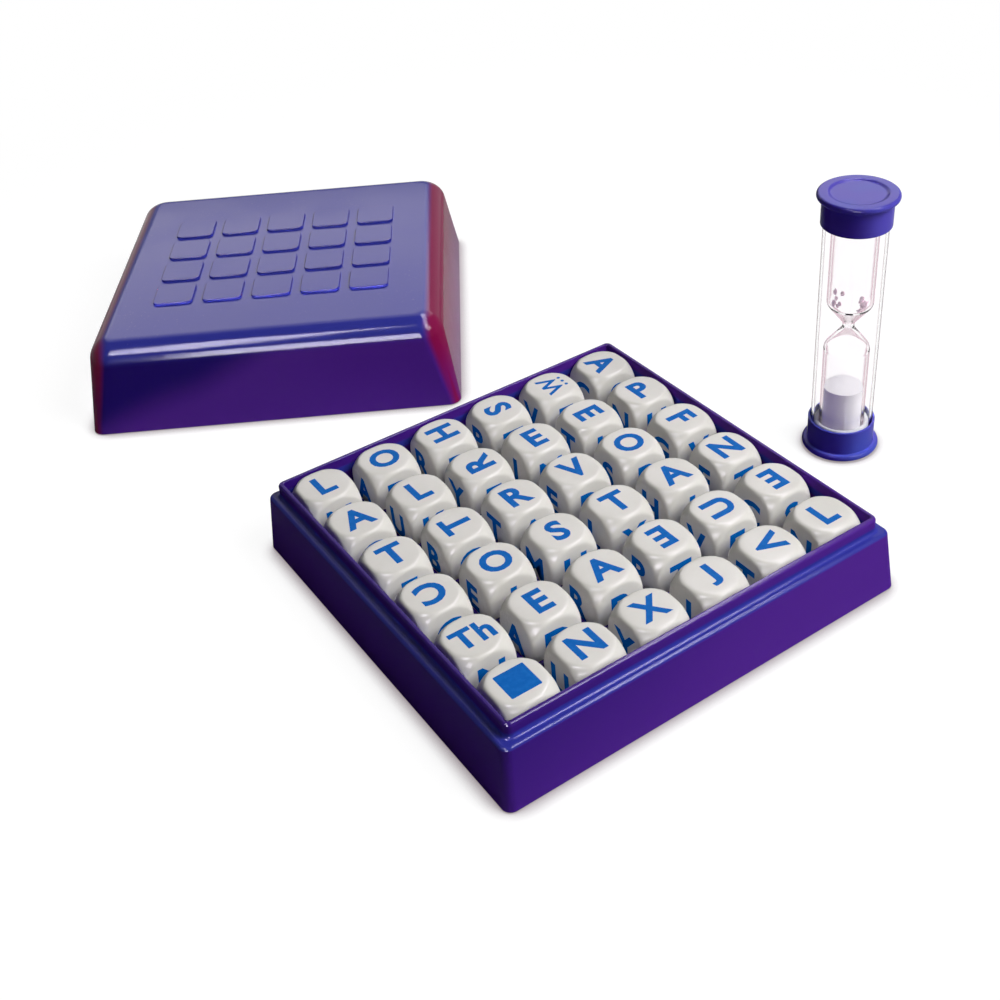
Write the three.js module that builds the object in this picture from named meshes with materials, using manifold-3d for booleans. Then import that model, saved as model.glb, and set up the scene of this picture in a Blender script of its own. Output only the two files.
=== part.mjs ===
// A word game of letter dice: a square tray whose cells hold one die each, the deep cover that goes
// over the rim of the tray and lies beside it, and a sand timer. Millimetres, +Z up.
import * as THREE from 'three';
import { mergeVertices } from 'three/addons/utils/BufferGeometryUtils.js';
import Module from 'manifold-3d';

const wasm = await Module();
wasm.setup();

// Gaps and overruns
const seat = 0.3; // left between two pieces that only rest on each other
const overrun = 0.6; // how far a joining solid runs into the one it joins
const half = 0.5;

// Die: a cube whose edges and corners are rounded off by one sphere
const die = { side: 16, sphere: 22.2, flatShare: 0.66, columns: 4 };

// Tray: one thin moulding with a skirt, a ledge for the cover, a rim, and a floor with cell ribs
const tray = {
  cells: 6,
  cellClearance: 0.7,
  ribFoot: 2.6,
  ribTop: 1.8,
  ribHeight: 6.5,
  floorHeight: 7.8,
  floor: 1.6,
  wall: 1.6,
  cavityDraft: 0.2,
  rimWidth: 1.5,
  rimHeight: 4.5,
  rimRound: 0.6,
  ledgeWidth: 2.5,
  ledgeHeight: 19.2,
  ledgeRound: 1,
  ledgeFillet: 1,
  skirtWall: 1.7,
  skirtSpread: 2,
  footRound: 0.4,
  cornerInner: 1,
  cornerRim: 2,
  cornerLedge: 2.5,
  cornerFoot: 2.8,
};

// Cover: a deep drafted shell, open below, with a wide round along the edges of its top
const cover = {
  height: 31,
  wall: 1.6,
  draftDegrees: 8,
  clearance: 0.45,
  topRound: 7.5,
  cornerMouth: 4.2,
  cornerTop: 8.2,
  cornerLeast: 0.6,
  tile: 13.6,
  tileGap: 3.4,
  tileHeight: 0.8,
  tileEdge: 2,
  tileColumns: 5,
  tileRows: 4,
};

// Sand timer: two flanged caps on a clear tube, and in it a double bulb of glass held by a soft
// ring in each cap
const timer = {
  height: 86.4,
  flangeRadius: 11.9,
  flange: 1.9,
  flangeRound: 0.7,
  capRadius: 10.35,
  capDepth: 9.8,
  capEnd: 1.8,
  faceRadius: 8.75,
  faceDepth: 0.5,
  faceSlope: 0.6,
  tubeRadius: 9.5,
  tubeWall: 0.8,
  tubeClearance: 0.15,
  bulbRadius: 7,
  bulbWall: 0.8,
  packing: 7.2,
  packingClearance: 0.2,
  shoulder: 8.4,
  shoulderRound: 3,
  neckRadius: 1.8,
  neckBore: 0.7,
  neckRound: 2.2,
  fillClearance: 0.2,
  plug: 3,
  sandHeight: 17.2,
  heap: 1.6,
};

// Where the cover and the timer stand beside the tray
const place = {
  coverGap: 27,
  coverAside: 0.6,
  coverTurnDegrees: -31.5,
  timerGap: 25.5,
  timerAside: 5.6,
};

// How finely the round shapes are cut
const steps = { corner: 5, edge: 2, topEdge: 6, ring: 28, bend: 4, ribCrown: 3 };

// Sizes that follow from those above
const cell = die.side + 2 * tray.cellClearance;
const pitch = cell + tray.ribFoot;
const rimTop = tray.ledgeHeight + tray.rimHeight;
const cavityFoot = half * (tray.cells * pitch - tray.ribFoot);
const cavityTop = cavityFoot + tray.cavityDraft;
const rimOuter = cavityTop + tray.rimWidth;
const ledgeOuter = rimOuter + tray.ledgeWidth;
const footOuter = ledgeOuter + tray.skirtSpread;
const draft = THREE.MathUtils.degToRad(cover.draftDegrees);
const mouthInner = rimOuter + cover.clearance + tray.rimHeight * Math.tan(draft);
const mouthOuter = mouthInner + cover.wall / Math.cos(draft);
const capFloor = timer.capEnd + seat;
const tubeInner = timer.tubeRadius - timer.tubeWall;
const bulbInner = timer.bulbRadius - timer.bulbWall;
const fillRadius = bulbInner - timer.fillClearance;
const quarter = half * Math.PI;

// Finishes
const finishes = {
  violet: { color: 0x3c2082, roughness: 0.16, metalness: 0 },
  ivory: { color: 0xe2dfd8, roughness: 0.24, metalness: 0 },
  blue: { color: 0x3f35a0, roughness: 0.22, metalness: 0 },
  clear: { color: 0xf2eef2, roughness: 0.05, metalness: 0, transparent: true, opacity: 0.3 },
  sand: { color: 0xf0eef5, roughness: 0.9, metalness: 0 },
  foam: { color: 0xe4e2e8, roughness: 0.6, metalness: 0 },
};

// A closed geometry as a solid that can be joined or cut
function solid(geometry) {
  const bare = geometry.index ? geometry.toNonIndexed() : geometry.clone();
  bare.deleteAttribute('normal');
  bare.deleteAttribute('uv');
  const merged = mergeVertices(bare);
  const corners = merged.index.array;
  const triVerts = [];
  for (let i = 0; i < corners.length; i += 3) {
    const [a, b, c] = [corners[i], corners[i + 1], corners[i + 2]];
    if (a !== b && b !== c && c !== a) triVerts.push(a, b, c);
  }
  const vertProperties = new Float32Array(merged.attributes.position.array);
  return new wasm.Manifold(
    new wasm.Mesh({ numProp: 3, vertProperties, triVerts: new Uint32Array(triVerts) }),
  );
}

// A named mesh of one solid
function piece(name, body, finish) {
  const mesh = body.getMesh();
  const geometry = new THREE.BufferGeometry();
  geometry.setAttribute('position', new THREE.BufferAttribute(mesh.vertProperties, 3));
  geometry.setIndex(new THREE.BufferAttribute(mesh.triVerts, 1));
  geometry.computeVertexNormals();
  const result = new THREE.Mesh(geometry, new THREE.MeshStandardMaterial(finishes[finish]));
  result.name = name;
  return result;
}

// Points of an arc in a section, as [across, up]
function arc(across, up, radius, from, to, count) {
  return Array.from({ length: count + 1 }, (_, i) => {
    const angle = from + ((to - from) * i) / count;
    return [across + radius * Math.cos(angle), up + radius * Math.sin(angle)];
  });
}

// A section swept round a rounded square: a lathe whose four quarters are moved out to the corners.
// A point of the section is [half side, height, corner radius], and it ends on the axis or closes.
function squareLathe(section) {
  const segments = 4 * steps.corner;
  const turn = (2 * Math.PI) / segments;
  const spread = 1 / Math.cos(half * turn);
  const profile = section.map(([, height, round]) => new THREE.Vector2(round * spread, height));
  const geometry = new THREE.LatheGeometry(profile, segments, half * turn, 2 * Math.PI);
  const position = geometry.attributes.position;
  for (let i = 0; i < position.count; i += 1) {
    const [side, , round] = section[i % section.length];
    const angle = half * turn + turn * Math.floor(i / section.length);
    position.setX(i, position.getX(i) + Math.sign(Math.sin(angle)) * (side - round));
    position.setZ(i, position.getZ(i) + Math.sign(Math.cos(angle)) * (side - round));
  }
  return solid(geometry.rotateX(quarter));
}

// A section of [radius, height] points turned round the upright axis
function roundLathe(section) {
  const profile = section.map(([radius, height]) => new THREE.Vector2(radius, height));
  return solid(new THREE.LatheGeometry(profile, steps.ring).rotateX(quarter));
}

// Adds a corner radius to points of a section
function rounded(points, corner) {
  return points.map(([across, up]) => [across, up, corner]);
}

// Tray shell: skirt, ledge, rim, cavity and floor in one section from the axis out and back
function trayShell() {
  const wallOuter = cavityFoot + tray.wall;
  const underside = tray.floorHeight - tray.floor;
  const slotTop = tray.ledgeHeight - tray.skirtWall;
  const skirtInner = ledgeOuter - tray.skirtWall;
  const ledgeArc = ledgeOuter - tray.ledgeRound;
  const fillet = tray.ledgeFillet;
  return squareLathe([
    [0, underside, 0],
    [wallOuter, underside, tray.cornerRim],
    [wallOuter, slotTop, tray.cornerRim],
    [skirtInner, slotTop, tray.cornerRim],
    [footOuter - tray.skirtWall, 0, tray.cornerFoot - tray.skirtWall],
    [footOuter - tray.footRound, 0, tray.cornerFoot],
    [footOuter, tray.footRound, tray.cornerFoot],
    ...rounded(
      arc(ledgeArc, tray.ledgeHeight - tray.ledgeRound, tray.ledgeRound, 0, quarter, steps.edge),
      tray.cornerLedge,
    ),
    ...rounded(
      arc(rimOuter + fillet, tray.ledgeHeight + fillet, fillet, -quarter, -Math.PI, steps.edge),
      tray.cornerRim,
    ),
    ...rounded(
      arc(rimOuter - tray.rimRound, rimTop - tray.rimRound, tray.rimRound, 0, quarter, steps.edge),
      tray.cornerRim,
    ),
    [cavityTop, rimTop, tray.cornerInner],
    [cavityFoot, tray.floorHeight, tray.cornerInner],
    [0, tray.floorHeight, 0],
  ]);
}

// One rib between two rows of cells: a tapering bar with a round crown, along Y at the given X
function cellRib(x) {
  const foot = half * tray.ribFoot;
  const top = half * tray.ribTop;
  const outline = new THREE.Shape();
  outline.moveTo(-foot, -overrun);
  outline.lineTo(foot, -overrun);
  outline.lineTo(top, tray.ribHeight - top);
  outline.absarc(0, tray.ribHeight - top, top, 0, Math.PI, false);
  outline.closePath();
  const length = 2 * (cavityFoot + overrun);
  const bar = new THREE.ExtrudeGeometry(outline, {
    depth: length,
    bevelEnabled: false,
    curveSegments: steps.ribCrown,
  });
  bar.rotateX(quarter).translate(x, half * length, tray.floorHeight);
  return solid(bar);
}

// The tray with ribs both ways between its cells
function trayBody() {
  let body = trayShell();
  for (let i = 1; i < tray.cells; i += 1) {
    const rib = cellRib(cellCentre(i) - half * pitch);
    body = body.add(rib).add(rib.rotate([0, 0, 90]));
  }
  return body;
}

// Distance of a cell's centre from the middle of the tray
function cellCentre(index) {
  return (index - half * (tray.cells - 1)) * pitch;
}

// A die centred on the origin: a cube's grid, drawn in to the sphere where it stands outside it
function dieBody() {
  const cube = new THREE.BoxGeometry(
    die.side,
    die.side,
    die.side,
    die.columns,
    die.columns,
    die.columns,
  );
  const position = cube.attributes.position;
  const edge = half * die.side;
  const inner = edge * (2 / die.columns);
  const point = new THREE.Vector3();
  const moved = (value) => (Math.abs(Math.abs(value) - inner) < inner * half
    ? Math.sign(value) * edge * die.flatShare
    : value);
  for (let i = 0; i < position.count; i += 1) {
    point.fromBufferAttribute(position, i);
    point.set(moved(point.x), moved(point.y), moved(point.z));
    point.clampLength(0, half * die.sphere);
    position.setXYZ(i, point.x, point.y, point.z);
  }
  return solid(cube);
}

// Outer or inner face of the cover from the mouth to the middle of the top, in by the wall
function coverFace(mouth, wall) {
  const round = cover.topRound - wall;
  const up = cover.height - cover.topRound;
  const across = mouthOuter - up * Math.tan(draft) - cover.topRound / Math.cos(draft);
  const crown = arc(across, up, round, draft, quarter, steps.topEdge);
  return [
    [mouth, 0, cover.cornerMouth - wall],
    ...crown.map(([side, height]) => {
      const fall = across + round * Math.cos(draft) - side;
      return [side, height, Math.max(cover.cornerTop - wall - fall, cover.cornerLeast)];
    }),
    [0, cover.height - wall, 0],
  ];
}

// Low plain tiles on the cover's top, with cut corners, in rows and columns about its middle
function coverTiles() {
  const step = cover.tile + cover.tileGap;
  const side = half * cover.tile;
  const edge = side - cover.tileEdge;
  const outline = new THREE.Shape([
    new THREE.Vector2(side, -edge),
    new THREE.Vector2(side, edge),
    new THREE.Vector2(edge, side),
    new THREE.Vector2(-edge, side),
    new THREE.Vector2(-side, edge),
    new THREE.Vector2(-side, -edge),
    new THREE.Vector2(-edge, -side),
    new THREE.Vector2(edge, -side),
  ]);
  const depth = cover.tileHeight + half * cover.wall;
  const tile = solid(new THREE.ExtrudeGeometry(outline, { depth, bevelEnabled: false }));
  const tiles = [];
  for (let row = 0; row < cover.tileRows; row += 1) {
    for (let column = 0; column < cover.tileColumns; column += 1) {
      const x = (column - half * (cover.tileColumns - 1)) * step;
      const y = (row - half * (cover.tileRows - 1)) * step;
      tiles.push(tile.translate([x, y, cover.height - half * cover.wall]));
    }
  }
  return tiles;
}

// The cover, standing on its mouth
function coverBody() {
  const outer = coverFace(mouthOuter, 0);
  const inner = coverFace(mouthInner, cover.wall);
  let body = squareLathe([...inner.reverse(), ...outer]);
  for (const tile of coverTiles()) body = body.add(tile);
  return body;
}

// A cap of the timer, with its outer face down on zero and its mouth up
function capBody() {
  const tubeSeat = timer.tubeRadius + timer.tubeClearance;
  const rim = timer.flangeRadius - timer.flangeRound;
  return roundLathe([
    [0, timer.faceDepth],
    [timer.faceRadius - timer.faceSlope, timer.faceDepth],
    [timer.faceRadius, 0],
    ...arc(rim, timer.flangeRound, timer.flangeRound, -quarter, 0, steps.edge),
    ...arc(rim, timer.flange - timer.flangeRound, timer.flangeRound, 0, quarter, steps.edge),
    [timer.capRadius, timer.flange],
    [timer.capRadius, timer.capDepth],
    [tubeSeat, timer.capDepth],
    [tubeSeat, timer.capEnd],
    [0, timer.capEnd],
  ]);
}

// The clear tube between the ends of the two caps
function tubeBody() {
  const high = timer.height - capFloor;
  return roundLathe([
    [tubeInner, capFloor],
    [timer.tubeRadius, capFloor],
    [timer.tubeRadius, high],
    [tubeInner, high],
    [tubeInner, capFloor],
  ]);
}

// The soft ring between the tube and an end of the glass
function packingBody() {
  const inner = timer.bulbRadius + timer.packingClearance;
  const outer = tubeInner - timer.packingClearance;
  return roundLathe([
    [inner, capFloor],
    [outer, capFloor],
    [outer, capFloor + timer.packing],
    [inner, capFloor + timer.packing],
    [inner, capFloor],
  ]);
}

// One face of the double bulb from its neck up to a shoulder, as [radius, distance from the
// middle]: an arc at the neck and one at the shoulder, with their common tangent between them
function bulbCurve(neck, bulb, neckRound, shoulderRound) {
  const neckCentre = neck + neckRound;
  const bulbCentre = bulb - shoulderRound;
  const spread = Math.hypot(bulbCentre - neckCentre, timer.shoulder);
  const lean = Math.atan2(bulbCentre - neckCentre, timer.shoulder);
  const bend = lean + Math.asin((neckRound + shoulderRound) / spread);
  return [
    ...arc(neckCentre, 0, neckRound, Math.PI, Math.PI - bend, steps.bend),
    ...arc(bulbCentre, timer.shoulder, shoulderRound, -bend, 0, steps.bend),
  ];
}

// The double bulb of glass, closed above and open below
function glassBody() {
  const middle = half * timer.height;
  const high = timer.height - capFloor;
  const outer = bulbCurve(timer.neckRadius, timer.bulbRadius, timer.neckRound, timer.shoulderRound);
  const inner = bulbCurve(
    timer.neckBore,
    bulbInner,
    timer.neckRound + timer.neckRadius - timer.neckBore,
    timer.shoulderRound - timer.bulbWall,
  );
  const above = (points) => points.map(([radius, rise]) => [radius, middle + rise]);
  const below = (points) => points.map(([radius, rise]) => [radius, middle - rise]).reverse();
  return roundLathe([
    [bulbInner, capFloor],
    [timer.bulbRadius, capFloor],
    ...below(outer),
    ...above(outer).slice(1),
    [timer.bulbRadius, high],
    [0, high],
    [0, high - timer.bulbWall],
    [bulbInner, high - timer.bulbWall],
    ...above(inner).reverse(),
    ...below(inner).reverse().slice(1),
    [bulbInner, capFloor],
  ]);
}

// The stopper in the open end of the glass
function plugBody() {
  return roundLathe([
    [0, capFloor],
    [fillRadius, capFloor],
    [fillRadius, capFloor + timer.plug],
    [0, capFloor + timer.plug],
  ]);
}

// The sand in the lower bulb, heaped a little towards the middle
function sandBody() {
  const low = capFloor + timer.plug + seat;
  return roundLathe([
    [0, low],
    [fillRadius, low],
    [fillRadius, low + timer.sandHeight - timer.heap],
    [half * fillRadius, low + timer.sandHeight - half * half * timer.heap],
    [0, low + timer.sandHeight],
  ]);
}

// The timer, standing on its lower cap
function timerGroup() {
  const group = new THREE.Group();
  const turnedOver = (body) => body.rotate([180, 0, 0]).translate([0, 0, timer.height]);
  group.add(
    piece('timer_bottom_cap', capBody(), 'blue'),
    piece('timer_top_cap', turnedOver(capBody()), 'blue'),
    piece('timer_tube', tubeBody(), 'clear'),
    piece('timer_bottom_packing', packingBody(), 'foam'),
    piece('timer_top_packing', turnedOver(packingBody()), 'foam'),
    piece('timer_glass', glassBody(), 'clear'),
    piece('timer_stopper', plugBody(), 'foam'),
    piece('timer_sand', sandBody(), 'sand'),
  );
  return group;
}

// The tray with a die in each cell: columns a to f across, rows 1 to 6 from the far side
function trayGroup() {
  const group = new THREE.Group();
  group.add(piece('tray', trayBody(), 'violet'));
  for (let row = 0; row < tray.cells; row += 1) {
    for (let column = 0; column < tray.cells; column += 1) {
      const name = `die_${String.fromCharCode('a'.charCodeAt(0) + column)}${row + 1}`;
      const mesh = piece(name, dieBody(), 'ivory');
      const height = tray.floorHeight + seat + half * die.side;
      mesh.position.set(cellCentre(column), -cellCentre(row), height);
      group.add(mesh);
    }
  }
  return group;
}

// The whole set on one table, with the origin under the middle of its bounding box
function gameSet() {
  const set = new THREE.Group();
  set.add(trayGroup());

  const turn = THREE.MathUtils.degToRad(place.coverTurnDegrees);
  const reach = mouthOuter * (Math.abs(Math.cos(turn)) + Math.abs(Math.sin(turn)));
  const lid = piece('cover', coverBody(), 'violet');
  lid.rotation.z = turn;
  lid.position.set(-place.coverAside, footOuter + place.coverGap + reach, 0);
  set.add(lid);

  const glassTimer = timerGroup();
  const timerX = footOuter + place.timerGap + timer.flangeRadius;
  glassTimer.position.set(timerX, -place.timerAside, 0);
  set.add(glassTimer);

  const box = new THREE.Box3().setFromObject(set, true);
  const centre = box.getCenter(new THREE.Vector3());
  set.position.set(-centre.x, -centre.y, -box.min.z);
  return set;
}

export default gameSet();
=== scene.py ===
"""A letter dice word game: a tray of thirty-six letter dice, its cover and its sand timer."""

import math

import bmesh
import bpy
from bpy.props import FloatProperty, FloatVectorProperty, IntProperty, PointerProperty
from bpy.types import NodeSocket, Operator, Panel, PropertyGroup
from mathutils import Matrix, Vector, noise


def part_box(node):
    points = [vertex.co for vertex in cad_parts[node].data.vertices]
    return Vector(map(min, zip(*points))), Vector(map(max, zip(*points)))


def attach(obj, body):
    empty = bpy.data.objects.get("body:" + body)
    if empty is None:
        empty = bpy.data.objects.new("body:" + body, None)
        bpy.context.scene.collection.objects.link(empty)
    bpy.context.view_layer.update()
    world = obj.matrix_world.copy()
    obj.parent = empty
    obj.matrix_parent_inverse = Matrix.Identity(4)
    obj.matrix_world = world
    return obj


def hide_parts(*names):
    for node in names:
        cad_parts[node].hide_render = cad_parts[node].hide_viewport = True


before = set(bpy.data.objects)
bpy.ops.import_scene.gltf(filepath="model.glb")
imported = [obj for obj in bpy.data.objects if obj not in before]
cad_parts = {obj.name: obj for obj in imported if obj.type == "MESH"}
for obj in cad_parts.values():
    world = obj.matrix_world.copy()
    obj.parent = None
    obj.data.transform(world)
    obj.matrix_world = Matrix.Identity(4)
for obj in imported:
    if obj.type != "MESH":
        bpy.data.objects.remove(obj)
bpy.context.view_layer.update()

bl_info = {
    "name": "Letter dice word game",
    "version": (1, 0, 0),
    "blender": (4, 5, 0),
    "location": "3D View > Sidebar > Word game",
    "description": "Dresses the packed tray, dice, cover and sand timer of a word game",
    "category": "Object",
}

MM = 0.001
TINY = 1e-6
WHITE = (1, 1, 1)

# Steps of a full turn, a multiple of four where the piece is square
SQUARE_STEPS = 64
ROUND_STEPS = 96
NECK_STEPS = 16
SAND_RINGS = 22

CAMERA_LENS = 48.294
CAMERA_SHIFT = (-0.06, -0.04)

# Where the lamps aim, and each lamp's name, its place ahead of that point, to its right and above
# it, its width, height and strength, and whether it lights the surfaces or only shows as gloss
LAMP_AIM = Vector((0, 0, 0.02))
LAMPS = (
    ("key_softbox", -0.354, 0.693, 0.778, 0.55, 0.55, 12.2, True),
    ("key_glint", -0.37, 0.7, 0.75, 0.35, 0.35, 50.0, False),
    ("edge_strip", 0.163, 0.471, 0.98, 1.3, 0.25, 50.0, False),
    ("back_softbox", 0.9, 0.0, 0.78, 1.5, 0.8, 5.6, False),
    ("left_strip", -0.522, -0.298, 0.83, 0.25, 0.5, 110.0, False),
    ("low_strip", -0.979, -0.132, 0.22, 0.35, 0.45, 120.0, False),
)
GLOSS_LAMP_COLOUR = (0.95, 0.89, 1)

# What the upper faces show, row by row from the far side: a letter and where its top points, with
# ^ for +Y, v for -Y, > for +X and < for -X. A # is a filled square.
UPPER_FACES = (
    "L^ O^ H> S> W< A>",
    "A^ L^ R< E^ E> P^",
    "T^ T< R^ V^ O^ F>",
    "Cv O^ S^ T^ A^ N^",
    "Th^ E^ A^ Ev U< Ev",
    "#^ N^ X^ J^ V> L^",
)
POINTERS = {"^": (0, 1, 0), "v": (0, -1, 0), ">": (1, 0, 0), "<": (-1, 0, 0)}

# Letters of the other five faces, taken in turn along the dice, and where each of those faces and
# the tops of its letters point
OTHER_LETTERS = "OCTEMAINSLRUDGHPYBKFVJTE"
OTHER_FACES = (
    ((-1, 0, 0), (0, 0, 1)),
    ((0, -1, 0), (0, 0, 1)),
    ((1, 0, 0), (0, 0, -1)),
    ((0, 1, 0), (1, 0, 0)),
    ((0, 0, -1), (0, 1, 0)),
)

# Letters that are drawn wider or narrower than the font has them, and letters whose sharp inner
# corners would fold over with fully thickened strokes
LETTER_STRETCH = {"J": 1.35, "X": 0.93}
LETTER_WEIGHT = {"M": 0.35, "W": 0.5}

# Rings of faces on a side of a die, from its middle out: the share of the crease's radius, and the
# share of the way from there to the edge
DIE_RINGS = (
    *((part, 0) for part in (0, 0.25, 0.5, 0.7, 0.84, 0.91, 0.945, 0.97, 0.985, 1)),
    (1.01, 0.03),
    *((1.015, out) for out in (0.09, 0.2, 0.36, 0.56, 0.78)),
    (1, 1),
)

# Lumps of sand that cling in the timer's upper bulb: turn about its axis in degrees, height above
# the neck and size in millimetres
CLINGING_LUMPS = (
    (172, 13, 0.75),
    (178, 11.2, 0.6),
    (170, 9, 0.8),
    (186, 8.8, 0.5),
    (-160, 13.4, 0.6),
    (-168, 9.6, 0.55),
    (-60, 6.6, 0.9),
    (-42, 6.9, 1.0),
    (-25, 6.4, 0.9),
    (-5, 6.8, 0.8),
    (-30, 4.4, 0.7),
    (-65, 4.6, 0.6),
)
# The lumps are flattened against the glass and sunk in it by a share of their size, and are
# roughened by a share of it with noise of this scale
LUMP_SHAPE = (0.35, 1, 1.4)
LUMP_SINK = 0.45
LUMP_ROUGHNESS = 0.6
LUMP_SCALE = 1200
FUNNEL_TILT = math.radians(40)

# The sand's top: the shares of the heap's rise in its dome and in its ripples, where the ripples
# start to fade towards the glass, and each ripple's plane of noise, its scale and its height
DOME_SHARE = 0.62
RIPPLE_SHARE = 0.3
RIPPLE_FADE = 0.9
SAND_RIPPLES = ((0, 380, 0.5), (7, 1500, 0.12))

# The border between the painted navy shade and violet moves this much across for each metre up,
# and wanders by this many metres
NAVY_LEAN = -2.33
NAVY_WANDER = 0.04


def length(name, millimetres, description):
    """A size of the set, given in millimetres and kept in metres."""
    return FloatProperty(
        name=name,
        description=description,
        default=millimetres * MM,
        min=0,
        unit="LENGTH",
        precision=5,
    )


def share(name, value, description):
    """A plain share between nothing and one."""
    return FloatProperty(
        name=name, description=description, default=value, min=0, max=1, subtype="FACTOR"
    )


def angle(name, degrees, description):
    """An angle, given in degrees."""
    return FloatProperty(
        name=name, description=description, default=math.radians(degrees), subtype="ANGLE"
    )


def colour(name, value, description):
    """A colour in linear red, green and blue."""
    return FloatVectorProperty(
        name=name, description=description, default=value, size=3, min=0, max=1, subtype="COLOR"
    )


class TraySizes(PropertyGroup):
    """Sizes of the tray that holds the dice."""

    floor_height: length("Floor height", 7.8, "Top of the cells' floor above the table")
    floor: length("Floor", 1.6, "Thickness of the floor")
    wall: length("Wall", 1.6, "Thickness of the wall round the cavity")
    skirt_wall: length("Skirt wall", 1.7, "Thickness of the outer skirt")
    skirt_spread: length("Skirt spread", 2, "How far the skirt leans out from ledge to foot")
    ledge_height: length("Ledge height", 19.2, "Height of the ledge that the cover stands on")
    ledge_width: length("Ledge width", 2.5, "Width of the ledge round the rim")
    rim_width: length("Rim width", 1.5, "Width of the rim's top")
    cavity_draft: length("Cavity draft", 0.2, "How far the cavity narrows to its floor")
    foot_round: length("Foot rounding", 0.4, "Rounding of the foot's outer edge")
    ledge_round: length("Ledge rounding", 1, "Rounding of the ledge's outer edge")
    rim_round: length("Rim rounding", 1, "Rounding of the rim's outer edge")
    lip_round: length("Lip rounding", 0.35, "Rounding of the rim's edge on the cavity")
    fillet: length("Fillet", 1, "Fillet where the rim rises from the ledge")
    corner_inner: length("Cavity corner", 1, "Corner radius of the cavity")
    corner_rim: length("Rim corner", 2, "Corner radius of the rim")
    corner_ledge: length("Ledge corner", 2.5, "Corner radius of the ledge")
    corner_foot: length("Foot corner", 2.8, "Corner radius of the foot")
    pitch: length("Cell pitch", 20, "Distance between the middles of two cells")
    rib_foot: length("Rib foot", 2.6, "Width of a rib at the floor")
    rib_top: length("Rib top", 1.8, "Width of a rib at its crown")
    rib_height: length("Rib height", 6.5, "Height of a rib above the floor")
    cells: IntProperty(name="Cells", description="Cells along a side", default=6, min=1)


class DiceSizes(PropertyGroup):
    """Sizes of the letter dice and their letters."""

    side: length("Side", 16, "Distance between two faces of a die")
    sphere: length("Corner sphere", 22.2, "Diameter of the sphere that rounds the corners")
    squareness: FloatProperty(
        name="Squareness",
        description="How sharp the edges are: the power of the rounded cube",
        default=15,
        min=2,
        max=60,
    )
    blend: length("Blend", 0.28, "How softly the sphere runs into the faces")
    letter_height: length("Letter height", 8.6, "Height of a capital letter")
    letter_width: length("Letter width", 9.4, "Most that one letter may be wide")
    pair_width: length("Pair width", 11, "Most that two letters may be wide")
    letter_bold: share("Letter boldness", 0.036, "How much a letter's strokes are thickened")
    letter_raise: length("Letter raise", 0.03, "How far the letters stand above the faces")
    letter_depth: length("Letter depth", 0.12, "Thickness of a letter's inlay")
    square: length("Filled square", 8.7, "Side of the filled square")
    square_round: length("Square rounding", 0.3, "Rounding of the filled square's corners")
    dot: length("Dot", 0.55, "Radius of a dot below a letter")


class CoverSizes(PropertyGroup):
    """Sizes of the cover."""

    height: length("Height", 31, "Height of the cover's flat top")
    wall: length("Wall", 1.6, "Thickness of the wall")
    mouth: length("Mouth", 63.1, "Half the outer side of the mouth")
    draft: angle("Draft", 8, "How far the sides lean in")
    top_round: length("Top rounding", 7.5, "Radius along the edges of the top")
    mouth_round: length("Mouth rounding", 0.3, "Rounding of the mouth's edges")
    corner_mouth: length("Mouth corner", 4.2, "Corner radius of the mouth")
    corner_top: length("Top corner", 8.8, "Corner radius of the top before rounding")
    turn: angle("Turn", -31.5, "How the cover lies turned beside the tray")
    tile: length("Tile", 13.6, "Side of a raised tile")
    tile_gap: length("Tile gap", 3.4, "Gap between two tiles")
    tile_height: length("Tile height", 0.8, "Height of a tile")
    tile_corner: length("Tile corner", 2, "Corner radius of a tile")
    tile_round: length("Tile rounding", 0.3, "Rounding of a tile's upper edge")
    tile_columns: IntProperty(name="Tile columns", description="Tiles in a row", default=5)
    tile_rows: IntProperty(name="Tile rows", description="Rows of tiles", default=4)


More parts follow.
